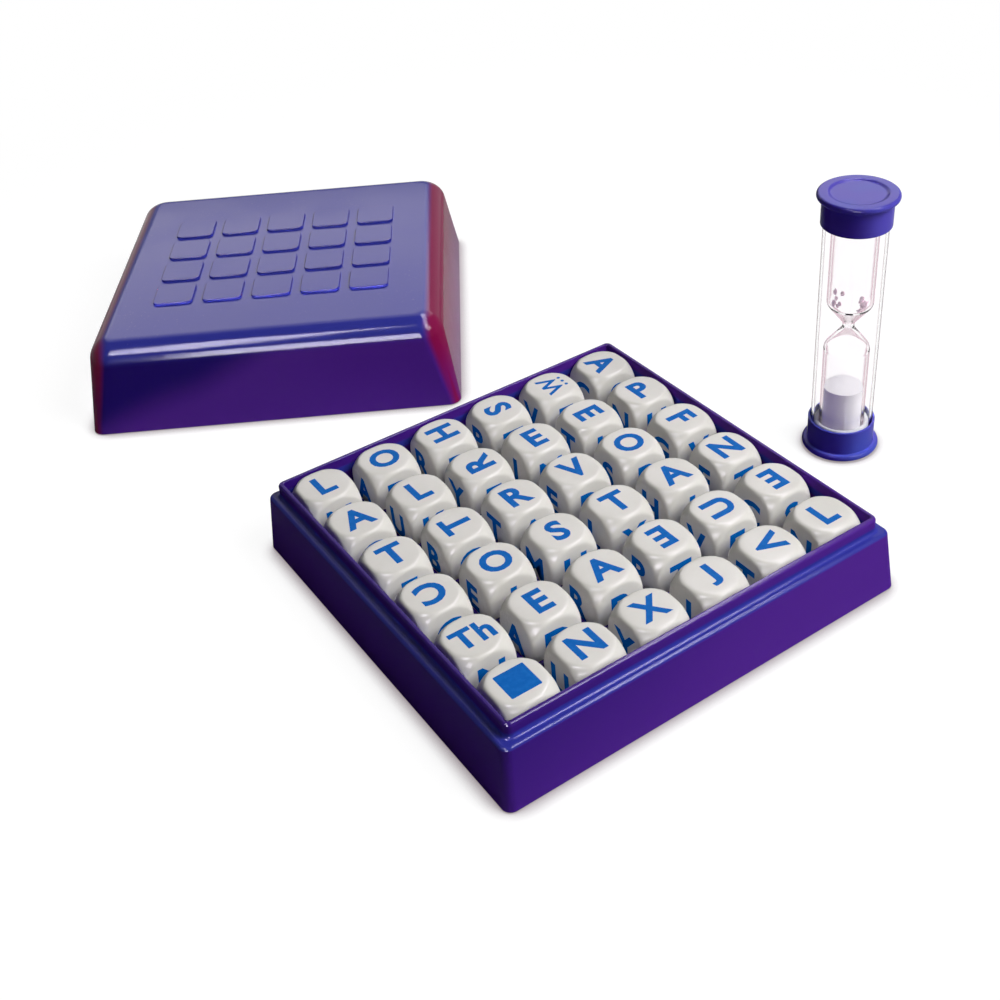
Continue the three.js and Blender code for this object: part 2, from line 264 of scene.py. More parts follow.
class TimerSizes(PropertyGroup):
    """Sizes of the sand timer."""

    height: length("Height", 86.4, "Whole height")
    flange_radius: length("Flange radius", 11.9, "Radius of a cap's flange")
    flange: length("Flange", 1.9, "Thickness of the flange")
    flange_round: length("Flange rounding", 0.9, "Rounding of the flange's edges")
    cap_radius: length("Cap radius", 10.35, "Radius of a cap's sleeve")
    cap_depth: length("Cap depth", 9.8, "Height of a cap")
    cap_end: length("Cap end", 1.8, "Thickness of a cap's end")
    face_radius: length("Face radius", 8.75, "Radius of the sunk face on a cap's end")
    face_depth: length("Face depth", 0.4, "How deep that face is sunk")
    face_slope: length("Face slope", 0.9, "Width of the slope round it")
    face_round: length("Face rounding", 0.3, "Rounding of that slope and of the sleeve's root")
    sleeve_round: length("Sleeve rounding", 0.2, "Rounding of the sleeve's rim outside")
    sleeve_lip: length("Sleeve lip", 0.15, "Rounding of the sleeve's rim inside")
    seat: length("Seat", 0.3, "Clearance between pieces that touch")
    tube_radius: length("Tube radius", 9.5, "Outer radius of the clear tube")
    tube_wall: length("Tube wall", 0.8, "Wall of the clear tube")
    tube_clearance: length("Tube clearance", 0.15, "Gap between tube and cap")
    cut_round: length("Cut rounding", 0.2, "Rounding of the cut ends of tube and glass")
    bulb_radius: length("Bulb radius", 7, "Outer radius of the glass")
    bulb_wall: length("Bulb wall", 0.8, "Wall of the glass")
    bulb_round: length("Bulb rounding", 1.2, "Rounding of the glass's closed end outside")
    bulb_hollow: length("Bulb hollow", 0.8, "Rounding of that end inside")
    packing: length("Packing", 7.2, "Height of a packing ring")
    packing_clearance: length("Packing clearance", 0.2, "Gap round a packing ring")
    packing_foot: length("Packing foot", 0.35, "Rounding of a packing ring's lower edges")
    packing_top: length("Packing top", 0.5, "Rounding of a packing ring's upper edges")
    shoulder: length("Shoulder", 8.4, "Height of the shoulder's centre above the neck")
    shoulder_round: length("Shoulder rounding", 3, "Radius of the shoulder")
    neck_radius: length("Neck radius", 1.8, "Outer radius of the neck")
    neck_bore: length("Neck bore", 0.7, "Radius of the hole through the neck")
    neck_round: length("Neck rounding", 2.2, "Radius of the neck's hollow")
    fill_clearance: length("Fill clearance", 0.2, "Gap between sand and glass")
    plug: length("Plug", 3, "Height of the stopper")
    plug_foot: length("Plug foot", 0.3, "Rounding of the stopper's lower edge")
    plug_top: length("Plug top", 0.4, "Rounding of the stopper's upper edge")
    sand_foot: length("Sand foot", 0.2, "Rounding of the sand's lower edge")
    heap: length("Heap", 1.2, "Rise of the sand in the middle")


class Finishes(PropertyGroup):
    """Colours of the set."""

    violet: colour("Violet", (0.075, 0.016, 0.26), "The tray's and the cover's plastic")
    # Painted shade: navy darkens the plastic towards one side
    navy: colour("Navy", (0.013, 0.003, 0.135), "Where that plastic looks darker and bluer")
    # Painted reflection: a bluer colour on the flat tops, and where the plastic turns up to them
    blue: colour("Blue", (0.03, 0.034, 0.31), "On its flat tops, and where it turns up")
    # Painted glow: crimson light let through the corners and flanks
    crimson: colour("Crimson", (0.24, 0.004, 0.05), "Light that its corners let through")
    # Painted highlight and rubbed wear: a lighter colour along the edges
    violet_wear_and_highlight: colour("Worn violet", (0.16, 0.12, 0.42), "Its edges, where they are rubbed")
    violet_dust: colour("Dust on violet", (0.5, 0.5, 0.58), "Dust on that plastic")
    violet_sheen: colour("Violet sheen", (0.9, 0.05, 0.3), "The glow along its outline")
    ivory: colour("Ivory", (0.72, 0.7, 0.655), "The dice")
    ivory_light: colour("Light ivory", (0.765, 0.745, 0.705), "Where the dice are paler")
    ivory_rubbed: colour("Rubbed ivory", (0.62, 0.6, 0.56), "Where hands have touched the dice")
    ivory_dust: colour("Dust on ivory", (0.5, 0.49, 0.48), "Dust on the dice")
    ink: colour("Ink", (0.0, 0.125, 0.5), "The letters")
    ink_light: colour("Light ink", (0.004, 0.15, 0.55), "Where the ink lies thinner")
    cap_blue: colour("Cap blue", (0.055, 0.072, 0.43), "The timer's caps")
    cap_violet: colour("Cap violet", (0.075, 0.058, 0.41), "Where the caps look more violet")
    cap_dark: colour("Dark cap", (0.022, 0.003, 0.2), "The caps' side away from the light")
    # Painted highlight and rubbed wear: a lighter colour along the caps' edges
    cap_wear_and_highlight: colour("Worn cap", (0.22, 0.24, 0.6), "The caps' edges, where they are rubbed")
    glass: colour("Glass", (1.0, 0.993, 0.997), "The tube and the glass")
    glass_smear: colour("Smeared glass", (0.98, 0.975, 0.985), "Where the glass is smeared")
    # Painted reflection: a dark tint on the glass's outline, for dark surroundings seen in it
    glass_painted_outline: colour("Glass edge", (0.33, 0.14, 0.2), "The glass seen along its wall")
    glass_shadow: colour("Glass shadow", (0.997, 0.995, 0.997), "Lamplight through the glass")
    # Painted reflection: the same dark tint on the tube's outline
    tube_painted_outline: colour("Tube edge", (0.16, 0.1, 0.11), "The tube seen along its wall")
    packing: colour("Packing", (0.9, 0.91, 0.94), "The packing rings")
    sand: colour("Sand", (0.96, 0.955, 0.97), "The sand")
    sand_dark: colour("Shaded sand", (0.93, 0.92, 0.96), "Between its grains")
    sand_lilac: colour("Lilac sand", (0.74, 0.66, 0.97), "The side of the sand in shade")
    pink_sand: colour("Pink sand", (0.97, 0.72, 0.82), "The sand that clings to the glass")
    pink_dark: colour("Shaded pink sand", (0.95, 0.5, 0.66), "Between the grains of that sand")
    stopper: colour("Stopper", (0.55, 0.5, 0.46), "The stopper")


class StageSettings(PropertyGroup):
    """Camera, floor and lamps."""

    camera_turn: angle("Camera turn", -32.978, "Turn of the camera about the tray")
    camera_rise: angle("Camera rise", 36.057, "Height of the camera as an angle")
    camera_roll: angle("Camera roll", -4.14, "Roll of the camera")
    camera_distance: length("Camera distance", 388.6, "From the tray to the camera")
    camera_up: length("Camera up", 30.13, "Upward place of the camera")
    camera_left: length("Camera left", 3.02, "Sideways place of the camera to the left")
    floor: share("Floor", 0.62, "How pale the floor is to the light")
    floor_seen: share("Floor seen", 0.14, "How much the lamps' shadows show on the floor")
    # Painted shadow on the floor at a piece's foot
    floor_shade: colour("Floor shade", (0.34, 0.29, 0.31), "The floor at a piece's foot")
    floor_gap: length("Floor gap", 0.2, "How far the floor lies below the pieces")
    shadow_reach: length("Shadow reach", 6.5, "Width of the soft shadow at a piece's foot")
    world: share("World", 0.07, "Strength of the even light all round")


# Meshes


def turned(section, steps=SQUARE_STEPS, closed=False):
    """A solid turned round the upright axis from a section.

    Each row of the section holds a half side, a height, a corner radius and a rounding, and gives
    a ring. The ring is a circle of the corner radius whose quarters move out to the
    half side, so a corner radius equal to the half side leaves it round. Rounding is the width that
    a bevel takes off the ring's edge.
    """
    bm = bmesh.new()
    row = bm.verts.layers.int.new("row")
    reach = bm.verts.layers.float.new("reach")
    half_step = math.pi / steps
    points = []
    for index, (side, height, corner, _) in enumerate(section):
        spread = corner if abs(side - corner) < TINY else corner / math.cos(half_step)
        point = bm.verts.new(
            (spread * math.cos(half_step), spread * math.sin(half_step), height)
        )
        point[row], point[reach] = index + 1, side - corner
        points.append(point)
    edges = [bm.edges.new(pair) for pair in zip(points, points[1:])]
    if closed:
        edges.append(bm.edges.new((points[-1], points[0])))
    bmesh.ops.spin(
        bm,
        geom=points + edges,
        cent=(0, 0, 0),
        axis=(0, 0, 1),
        dvec=(0, 0, 0),
        angle=2 * math.pi,
        steps=steps,
        use_merge=True,
    )
    axis = [v for v in bm.verts if v.co.xy.length < TINY]
    if axis:
        bmesh.ops.remove_doubles(bm, verts=axis, dist=TINY)
    for v in bm.verts:
        v.co.x += math.copysign(v[reach], v.co.x) if v[reach] else 0
        v.co.y += math.copysign(v[reach], v.co.y) if v[reach] else 0
    middle = [v for v in bm.verts if v.co.xy.length < TINY]
    if middle:
        bmesh.ops.dissolve_verts(bm, verts=middle)
    bmesh.ops.recalc_face_normals(bm, faces=bm.faces)
    for index, (*_, rounding) in enumerate(section):
        if rounding:
            round_ring(bm, index + 1, rounding)
    bm.verts.layers.int.remove(bm.verts.layers.int["row"])
    bm.verts.layers.float.remove(bm.verts.layers.float["reach"])
    return bm


def turned_round(rows, closed=False):
    """A solid turned from rows of (radius, height, rounding)."""
    section = [(radius, height, radius, rounding) for radius, height, rounding in rows]
    return turned(section, ROUND_STEPS, closed)


def ring(inner, outer, low, high, low_round, high_round):
    """A ring from one height to another, with its lower and upper edges rounded."""
    foot = [(inner, low, low_round), (outer, low, low_round)]
    top = [(outer, high, high_round), (inner, high, high_round)]
    return turned_round(foot + top, closed=True)


def rod(radius, low, high, low_round, high_round):
    """A rod from one height to another, with its lower and upper edge rounded."""
    foot = [(0, low, 0), (radius, low, low_round)]
    return turned_round(foot + [(radius, high, high_round), (0, high, 0)])


def round_ring(bm, number, width):
    """Rounds the edge that one row of a section has made."""
    row = bm.verts.layers.int["row"]
    height = [v.co.z for v in bm.verts if v[row] == number][0]
    edges = [
        e
        for e in bm.edges
        if all(v[row] == number and abs(v.co.z - height) < TINY for v in e.verts)
    ]
    bevel(bm, edges, width, max(6, min(24, round(width / MM * 6))), clamp=False)


def bevel(bm, edges, width, segments, clamp=True):
    """Rounds chosen edges."""
    bmesh.ops.bevel(
        bm,
        geom=edges,
        offset=width,
        offset_type="OFFSET",
        segments=segments,
        profile=0.5,
        affect="EDGES",
        clamp_overlap=clamp,
        material=-1,
    )


def block(width, depth, height, low):
    """A cuboid about the upright axis whose foot is at a height."""
    bm = bmesh.new()
    bmesh.ops.create_cube(bm, size=1)
    bmesh.ops.scale(bm, vec=(width, depth, height), verts=bm.verts)
    bmesh.ops.translate(bm, vec=(0, 0, low + height / 2), verts=bm.verts)
    return bm


def add_copy(bm, mesh, place):
    """Adds a copy of a mesh at a place."""
    before = len(bm.verts)
    bm.from_mesh(mesh)
    bm.verts.ensure_lookup_table()
    bmesh.ops.transform(bm, matrix=place, verts=bm.verts[before:])


def copies(mesh, places):
    """A copy of a mesh at each place, all in one."""
    bm = bmesh.new()
    for place in places:
        add_copy(bm, mesh, place)
    return bm


def as_mesh(name, bm):
    """The mesh of a bmesh, which is then freed."""
    mesh = bpy.data.meshes.new(name)
    bm.to_mesh(mesh)
    bm.free()
    return mesh


def piece(name, bm, material, body, replaces=None, smooth_degrees=38):
    """A finished object that rides on a body and may stand for a CAD node."""
    mesh = as_mesh(name, bm)
    mesh.materials.append(material)
    mesh.shade_smooth()
    mesh.set_sharp_from_angle(angle=math.radians(smooth_degrees))
    made = bpy.data.objects.new(name, mesh)
    bpy.context.scene.collection.objects.link(made)
    even = made.modifiers.new("Even shading", "WEIGHTED_NORMAL")
    even.mode, even.weight, even.keep_sharp = "FACE_AREA", 60, True
    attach(made, body)
    if replaces:
        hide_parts(replaces)


def middle_of(name):
    """The middle of a CAD node's box, brought down to the table."""
    low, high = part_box(name)
    return Vector(((low.x + high.x) / 2, (low.y + high.y) / 2, 0))


# Materials


class Nodes:
    """A node tree, with a short call for each kind of node that the materials repeat."""

    def __init__(self, tree):
        self.tree = tree

    def feed(self, made, inputs):
        """A node whose inputs are linked or set. An input is a socket to link or a plain value."""
        for key, value in inputs.items():
            if isinstance(value, NodeSocket):
                self.tree.links.new(value, made.inputs[key])
            else:
                made.inputs[key].default_value = value
        return made

    def add(self, kind, inputs, **settings):
        """A new shader node."""
        made = self.tree.nodes.new("ShaderNode" + kind)
        for name, value in settings.items():
            setattr(made, name, value)
        return self.feed(made, inputs)

    def maths(self, operation, *values):
        """The result of one sum."""
        return self.add("Math", dict(enumerate(values)), operation=operation).outputs[0]

    def times(self, first, *others):
        """The product of two or more values."""
        for other in others:
            first = self.maths("MULTIPLY", first, other)
        return first

    def mix(self, factor, first, second):
        """A mix of two colours."""
        first, second = (c if isinstance(c, NodeSocket) else (*c, 1) for c in (first, second))
        return self.add("Mix", {0: factor, 6: first, 7: second}, data_type="RGBA").outputs[2]

    def ease(self, value, low, high, to_low=0, to_high=1):
        """A value taken smoothly from one range to another."""
        inputs = {0: value, 1: low, 2: high, 3: to_low, 4: to_high}
        return self.add("MapRange", inputs, interpolation_type="SMOOTHSTEP").outputs[0]

    def cloud(self, vector, scale, detail, roughness=0.5):
        """Soft noise about a half."""
        inputs = {"Vector": vector, "Scale": scale, "Detail": detail, "Roughness": roughness}
        return self.add("TexNoise", inputs).outputs["Fac"]

    def dot(self, first, second):
        """The dot product of two vectors."""
        made = self.add("VectorMath", {0: first, 1: second}, operation="DOT_PRODUCT")
        return made.outputs["Value"]

    def facing(self, direction):
        """How far the surface faces a direction."""
        return self.dot(self.add("NewGeometry", {}).outputs["Normal"], direction)

    def own_frame(self, vector, **inputs):
        """A vector as a frame that has been moved or turned sees it."""
        made = self.add("Mapping", {"Vector": vector, **inputs}, vector_type="TEXTURE")
        return made.outputs[0]

    def effect(self, name, vector, **inputs):
        """The results of one of the effect groups."""
        tree = bpy.data.node_groups[name]
        return self.add("Group", {"Vector": vector, **inputs}, node_tree=tree).outputs

    def worn(self, body, vector, lighter_edge, width, amount):
        """A colour that is lighter along the edges, as rubbed wear and a painted highlight."""
        mask = self.effect("Edge wear and highlight", vector, Width=width)["Mask"]
        return self.mix(self.times(mask, amount), body, lighter_edge)

    def bump(self, height, strength, distance):
        """A normal from a height."""
        inputs = {"Height": height, "Strength": strength, "Distance": distance}
        return self.add("Bump", inputs).outputs[0]

    def mixed_shaders(self, factor, first, second):
        """A mix of two nodes' shaders."""
        inputs = {0: factor, 1: first.outputs[0], 2: second.outputs[0]}
        return self.add("MixShader", inputs)

    def finish(self, shader, kind="Material"):
        """Shows a node's shader on the output."""
        self.add("Output" + kind, {0: shader.outputs[0]})


def mould_grain(net, given):
    """Fine grain and slow waves of a moulded surface, as a height."""
    grain = net.cloud(given["Vector"], given["Grain"], 2)
    waves = net.cloud(given["Vector"], given["Waves"], 1)
    swell = net.times(waves, given["Swell"])
    return {"Height": net.maths("MULTIPLY_ADD", grain, 0.15, swell)}


def handling(net, given):
    """Roughness of a surface that hands have touched: clean, with rubbed patches and scuffs."""
    patches = net.cloud(given["Vector"], given["Patches"], 4, 0.6)
    stretched = net.add("Mapping", {"Vector": given["Vector"], "Scale": (1, 5, 2)})
    scuffs = net.cloud(stretched.outputs[0], 420, 3)
    mask = net.times(net.ease(patches, 0.42, 0.68), net.ease(scuffs, 0.3, 0.7, 0.45, 1))
    rough = net.add("MapRange", {0: mask, 1: 0, 2: 1, 3: given["Clean"], 4: given["Rubbed"]})
    return {"Roughness": rough.outputs[0], "Mask": mask}


def edge_wear_and_highlight(net, given):
    """Rubbed wear and a painted highlight on outer edges: one on the edge, nothing on the faces."""
    softened = net.add("Bevel", {"Radius": given["Width"]}, samples=4)
    edge = net.ease(net.facing(softened.outputs[0]), 0.995, 0.9)
    broken = net.ease(net.cloud(given["Vector"], 260, 3), 0.35, 0.65, 0.35, 1)
    return {"Mask": net.times(edge, broken)}


def dust(net, given):
    """Fine specks of dust on what faces up."""
    upward = net.ease(net.facing((0, 0, 1)), 0.6, 0.98)
    specks = net.ease(net.cloud(given["Vector"], 1500, 2), 0.66, 0.74)
    drifts = net.ease(net.cloud(given["Vector"], 35, 3), 0.35, 0.7)
    return {"Mask": net.times(upward, specks, drifts, given["Amount"])}


# The effects that more than one material uses: how each is made, its settings and its results
EFFECTS = {
    "Mould grain": (mould_grain, {"Grain": 2500, "Waves": 60, "Swell": 1}, ["Height"]),
    "Handling": (handling, {"Clean": 0.1, "Rubbed": 0.2, "Patches": 45}, ["Roughness", "Mask"]),
    "Edge wear and highlight": (edge_wear_and_highlight, {"Width": 0.0006}, ["Mask"]),
    "Dust": (dust, {"Amount": 0.2}, ["Mask"]),
}


def make_effects():
    """Makes the effects as node groups."""
    for name, (fill, settings, results) in EFFECTS.items():
        tree = bpy.data.node_groups.new(name, "ShaderNodeTree")
        add = tree.interface.new_socket
        add("Vector", in_out="INPUT", socket_type="NodeSocketVector")
        for key, value in settings.items():
            made = add(key, in_out="INPUT", socket_type="NodeSocketFloat")
            made.default_value = value
        for key in results:
            add(key, in_out="OUTPUT", socket_type="NodeSocketFloat")
        given = tree.nodes.new("NodeGroupInput").outputs
        net = Nodes(tree)
        net.feed(tree.nodes.new("NodeGroupOutput"), fill(net, given))


def start_material(name):
    """A new material, its nodes, the piece's own coordinates and the colours of the set."""
    if "Dust" not in bpy.data.node_groups:
        make_effects()
    material = bpy.data.materials.new(name)
    material.use_nodes = True
    material.node_tree.nodes.clear()
    net = Nodes(material.node_tree)
    own = net.add("TexCoord", {}).outputs["Object"]
    return material, net, own, bpy.context.scene.word_game_finishes


def violet_plastic(
    name, centre, turn, half_side, slope, *, crimson, lean, band, gloss, coat, cavity=0
):
    """Glossy violet plastic: a painted navy shade to one side, a painted crimson glow along two
    flanks and a band of blue that is a painted reflection.

    half_side is the outer half side at the table, and slope how fast it shrinks with height.
    Crimson is the share of that colour, a painted glow of light let through corners and flanks.
    Lean holds the two places between which the painted navy shade turns to violet. Band holds four
    heights: the painted blue starts, is full, still is full and ends. Cavity is half the side of a
    hollow that a painted shade darkens towards its floor.
    """
    material, net, coordinates, colours = start_material(name)
    own = net.own_frame(coordinates, Location=centre, Rotation=(0, 0, turn))
    x, y, z = net.add("SeparateXYZ", {0: own}).outputs
    far_x, far_y = net.maths("ABSOLUTE", x), net.maths("ABSOLUTE", y)
    furthest = net.maths("MAXIMUM", far_x, far_y)
    # Painted shade: navy towards one side, its border leaning with height and wandering with noise
    tilted = net.maths("MULTIPLY_ADD", z, NAVY_LEAN, x)
    drift = net.maths("SUBTRACT", net.cloud(own, 14, 2), 0.5)
    wavy = net.maths("MULTIPLY_ADD", drift, NAVY_WANDER, tilted)
    body = net.mix(net.ease(wavy, *lean), colours.navy, colours.violet)
    # Painted reflection: blue between the band's heights
    blue = net.times(net.ease(z, *band[:2]), net.ease(z, *band[2:], 1, 0))
    body = net.mix(blue, body, colours.blue)
    # Painted shade: darker towards the cavity's floor
    inside = net.ease(furthest, cavity, cavity - 0.4 * MM)
    deep = net.times(inside, net.ease(z, 23 * MM, 14 * MM, 0, 0.85))
    body = net.mix(deep, body, [0.45 * part for part in colours.navy])
    # Painted glow: crimson light let through the upright corners and the sideways flanks, stronger
    # higher up
    lean_in = net.maths("MULTIPLY_ADD", z, slope, net.maths("MINIMUM", far_x, far_y))
    corner = net.ease(lean_in, half_side - 4.2 * MM, half_side - 0.8 * MM)
    sideways = net.maths("ABSOLUTE", net.facing((math.cos(turn), math.sin(turn), 0)))
    flank = net.times(
        net.ease(sideways, 0.15, 0.5),
        net.ease(furthest, half_side - 14 * MM, half_side - 12 * MM),
        net.ease(z, 0, 26 * MM, 0.5, 1),
    )
    glow = net.times(net.maths("MAXIMUM", corner, flank), crimson)
    body = net.mix(glow, body, colours.crimson)
    # Painted highlight and rubbed wear: lighter along the edges
    body = net.worn(body, own, lighter_edge=colours.violet_wear_and_highlight, width=0.7 * MM, amount=0.25)
    body = net.mix(net.effect("Dust", own, Amount=0.07)["Mask"], body, colours.violet_dust)
    touched = net.effect("Handling", own, Clean=0.1, Rubbed=0.17, Patches=38)
    grain = net.effect("Mould grain", own, Grain=3200, Waves=45, Swell=0.3)
    net.finish(
        net.add(
            "BsdfPrincipled",
            {
                "Base Color": body,
                "Roughness": touched["Roughness"],
                "Specular IOR Level": gloss,
                "Coat Weight": coat,
                "Coat Roughness": 0.12,
                "Sheen Weight": 0.2,
                "Sheen Tint": (*colours.violet_sheen, 1),
                "Sheen Roughness": 0.2,
                "Normal": net.bump(grain["Height"], strength=0.12, distance=0.3 * MM),
            },
        )
    )
    return material


def plain_shader(net, body, roughness, normal, gloss):
    """Ends a material with a shader that has only these four inputs."""
    net.finish(
        net.add(
            "BsdfPrincipled",
            {
                "Base Color": body,
                "Roughness": roughness,
                "Specular IOR Level": gloss,
                "Normal": normal,
            },
        )
    )


def ivory_plastic():
    """The dice's off-white plastic, a little uneven, with a soft gloss."""
    material, net, own, colours = start_material("ivory_plastic")
    clouds = net.ease(net.cloud(own, 90, 3), 0.3, 0.7)
    body = net.mix(clouds, colours.ivory, colours.ivory_light)
    touched = net.effect("Handling", own, Clean=0.24, Rubbed=0.34, Patches=120)
    body = net.mix(net.times(touched["Mask"], 0.12), body, colours.ivory_rubbed)
    body = net.mix(net.effect("Dust", own, Amount=0.12)["Mask"], body, colours.ivory_dust)
    grain = net.effect("Mould grain", own, Grain=3800, Waves=260)
    normal = net.bump(grain["Height"], strength=0.16, distance=0.25 * MM)
    plain_shader(net, body, touched["Roughness"], normal, gloss=0.06)
    return material


def letter_ink():
    """Blue ink in the letters, a little worn and uneven."""
    material, net, own, colours = start_material("letter_ink")
    cloud = net.cloud(own, 700, 4)
    body = net.mix(net.ease(cloud, 0.35, 0.75), colours.ink, colours.ink_light)
    touched = net.effect("Handling", own, Clean=0.34, Rubbed=0.5, Patches=160)
    normal = net.bump(cloud, strength=0.2, distance=0.08 * MM)
    plain_shader(net, body, touched["Roughness"], normal, gloss=0.01)
    return material


def cap_plastic():
    """The timer caps' blue plastic, darker on the side away from the light."""
    material, net, own, colours = start_material("timer_blue")
    drift = net.ease(net.cloud(own, 55, 1.5), 0.35, 0.65)
    body = net.mix(drift, colours.cap_blue, colours.cap_violet)
    away = net.ease(net.facing((-0.98, 0.2, 0)), -0.1, 0.75, 0, 0.8)
    body = net.mix(away, body, colours.cap_dark)
    # Painted highlight and rubbed wear: lighter along the edges
    body = net.worn(body, own, lighter_edge=colours.cap_wear_and_highlight, width=0.4 * MM, amount=0.3)
    touched = net.effect("Handling", own, Clean=0.1, Rubbed=0.16, Patches=150)
    grain = net.effect("Mould grain", own, Grain=4200, Waves=200, Swell=0.3)
    normal = net.bump(grain["Height"], strength=0.12, distance=0.2 * MM)
    plain_shader(net, body, touched["Roughness"], normal, gloss=0.025)
    return material


def clear_material(name, edge, ior, start, full):
    """Clear glass or plastic that lets lamps shine through, tinted along its outline with a painted
    reflection of dark surroundings.

    Start and full are how far the wall has turned away where the tint begins and is complete.
    """
    material, net, own, colours = start_material(name)
    smears = net.ease(net.cloud(own, 110, 4, 0.6), 0.5, 0.8)
    body = net.mix(smears, colours.glass, colours.glass_smear)
    # Painted reflection: a dark tint where the wall turns away along the outline
    along = net.add("LayerWeight", {"Blend": 0.5}).outputs["Facing"]
    body = net.mix(net.ease(along, start, full), body, edge)
    glass = net.add(
        "BsdfPrincipled",
        {"Base Color": body, "Roughness": 0, "IOR": ior, "Transmission Weight": 1},
    )
    through = net.add("BsdfTransparent", {"Color": (*colours.glass_shadow, 1)})
    shadow = net.add("LightPath", {}).outputs["Is Shadow Ray"]
    net.finish(net.mixed_shaders(shadow, glass, through))
    return material


def foam_white(name, tint, cells_per_metre):
    """Soft foam or rubber with fine cells."""
    material, net, own, _ = start_material(name)
    cells = net.add("TexVoronoi", {"Vector": own, "Scale": cells_per_metre}).outputs["Distance"]
    cloud = net.cloud(own, 320, 3)
    body = net.mix(net.ease(cloud, 0.3, 0.7), tint, [0.86 * part for part in tint])
    rough = net.ease(cloud, 0.3, 0.7, 0.55, 0.75)
    normal = net.bump(cells, strength=0.25, distance=0.1 * MM)
    plain_shader(net, body, rough, normal, gloss=0.015)
    return material


def sand_grains(name, tint, shaded, centre, lilac_share, gloss):
    """Fine sand: bright grains with darker gaps, and a painted lilac shade to one side."""
    material, net, own, colours = start_material(name)
    grains = net.add("TexVoronoi", {"Vector": own, "Scale": 3200}).outputs["Distance"]
    body = net.mix(net.ease(grains, 0.25, 0.75), tint, shaded)
    body = net.mix(net.ease(net.cloud(own, 260, 3), 0.45, 0.75, 0, 0.35), body, shaded)
    # Painted shade: lilac on one side, where the sand does not face up
    across = net.dot(net.own_frame(own, Location=centre), (-0.94, 0.35, 0))
    lilac = net.times(
        net.ease(across, 0, 6 * MM, 0, lilac_share), net.ease(net.facing((0, 0, 1)), 0.9, 0.3)
    )
    body = net.mix(lilac, body, colours.sand_lilac)
    normal = net.bump(net.maths("SUBTRACT", 1, grains), strength=0.5, distance=0.15 * MM)
    plain_shader(net, body, net.ease(grains, 0, 0.6, 0.6, 0.95), normal, gloss)
    return material


# Pieces


class WORDGAME_OT_tray(Operator):
    """Build the tray: its shell with skirt, ledge, rim and floor, and the ribs between the cells"""

    bl_idname = "word_game.tray"
    bl_label = "Tray"

    def execute(self, context):
        sizes = context.scene.word_game_tray
        low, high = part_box("tray")
        centre = middle_of("tray")
        foot, rim_top = (high.x - low.x) / 2, high.z
        ledge, ledge_top = foot - sizes.skirt_spread, sizes.ledge_height
        rim = ledge - sizes.ledge_width
        cavity_top = rim - sizes.rim_width
        cavity_foot = cavity_top - sizes.cavity_draft
        wall = cavity_foot + sizes.wall
        underside = sizes.floor_height - sizes.floor
        slot = ledge_top - sizes.skirt_wall
        shell = turned(
            [
                (0, underside, 0, 0),
                (wall, underside, sizes.corner_rim, sizes.lip_round),
                (wall, slot, sizes.corner_rim, 0),
                (ledge - sizes.skirt_wall, slot, sizes.corner_rim, 0),
                (foot - sizes.skirt_wall, 0, sizes.corner_foot - sizes.skirt_wall, 0),
                (foot, 0, sizes.corner_foot, sizes.foot_round),
                (ledge, ledge_top, sizes.corner_ledge, sizes.ledge_round),
                (rim, ledge_top, sizes.corner_rim, sizes.fillet),
                (rim, rim_top, sizes.corner_rim, sizes.rim_round),
                (cavity_top, rim_top, sizes.corner_inner, sizes.lip_round),
                (cavity_foot, sizes.floor_height, sizes.corner_inner, sizes.lip_round),
                (0, sizes.floor_height, 0, 0),
            ]
        )
        bmesh.ops.translate(shell, vec=centre, verts=shell.verts)
        # Heights of the blue band, a painted reflection on the ledge and the fillet
        blue_reflection_band = (
            ledge_top - sizes.ledge_round,
            ledge_top - 0.3 * sizes.ledge_round,
            ledge_top + sizes.fillet,
            ledge_top + 2 * sizes.fillet,
        )
        violet = violet_plastic(
            "violet_tray",
            centre,
            0,
            foot,
            0.1,
            crimson=0,
            lean=(-0.2, 0.02),
            band=blue_reflection_band,
            gloss=0,
            coat=0.1,
            cavity=cavity_top,
        )
        piece("tray_shell", shell, violet, "tray", "tray")
        rib = as_mesh("rib", self.rib(sizes, 2 * cavity_foot + sizes.lip_round))
        places = []
        for index in range(1, sizes.cells):
            aside = (index - sizes.cells / 2) * sizes.pitch
            bar = Matrix.Translation((aside, 0, sizes.floor_height - sizes.lip_round))
            for turn in (0, math.pi / 2):
                places.append(Matrix.Translation(centre) @ Matrix.Rotation(turn, 4, "Z") @ bar)
        piece("tray_ribs", copies(rib, places), violet, "tray")
        return {"FINISHED"}

    def rib(self, sizes, reach):
        """One tapering rib with a round crown, along Y, standing on zero."""
        high = sizes.rib_height + sizes.lip_round
        bm = block(sizes.rib_foot, reach, high, 0)
        upper = [v for v in bm.verts if v.co.z > high / 2]
        bmesh.ops.scale(bm, vec=(sizes.rib_top / sizes.rib_foot, 1, 1), verts=upper)
        crown = [
            e for e in bm.edges if all(v.co.z > high / 2 for v in e.verts) and along_y(e)
        ]
        bevel(bm, crown, sizes.rib_top * 0.48, 6)
        return bm


def along_y(edge):
    """True for an edge that runs along Y."""
    run = edge.verts[0].co - edge.verts[1].co
    return abs(run.y) > 10 * max(abs(run.x), abs(run.z))


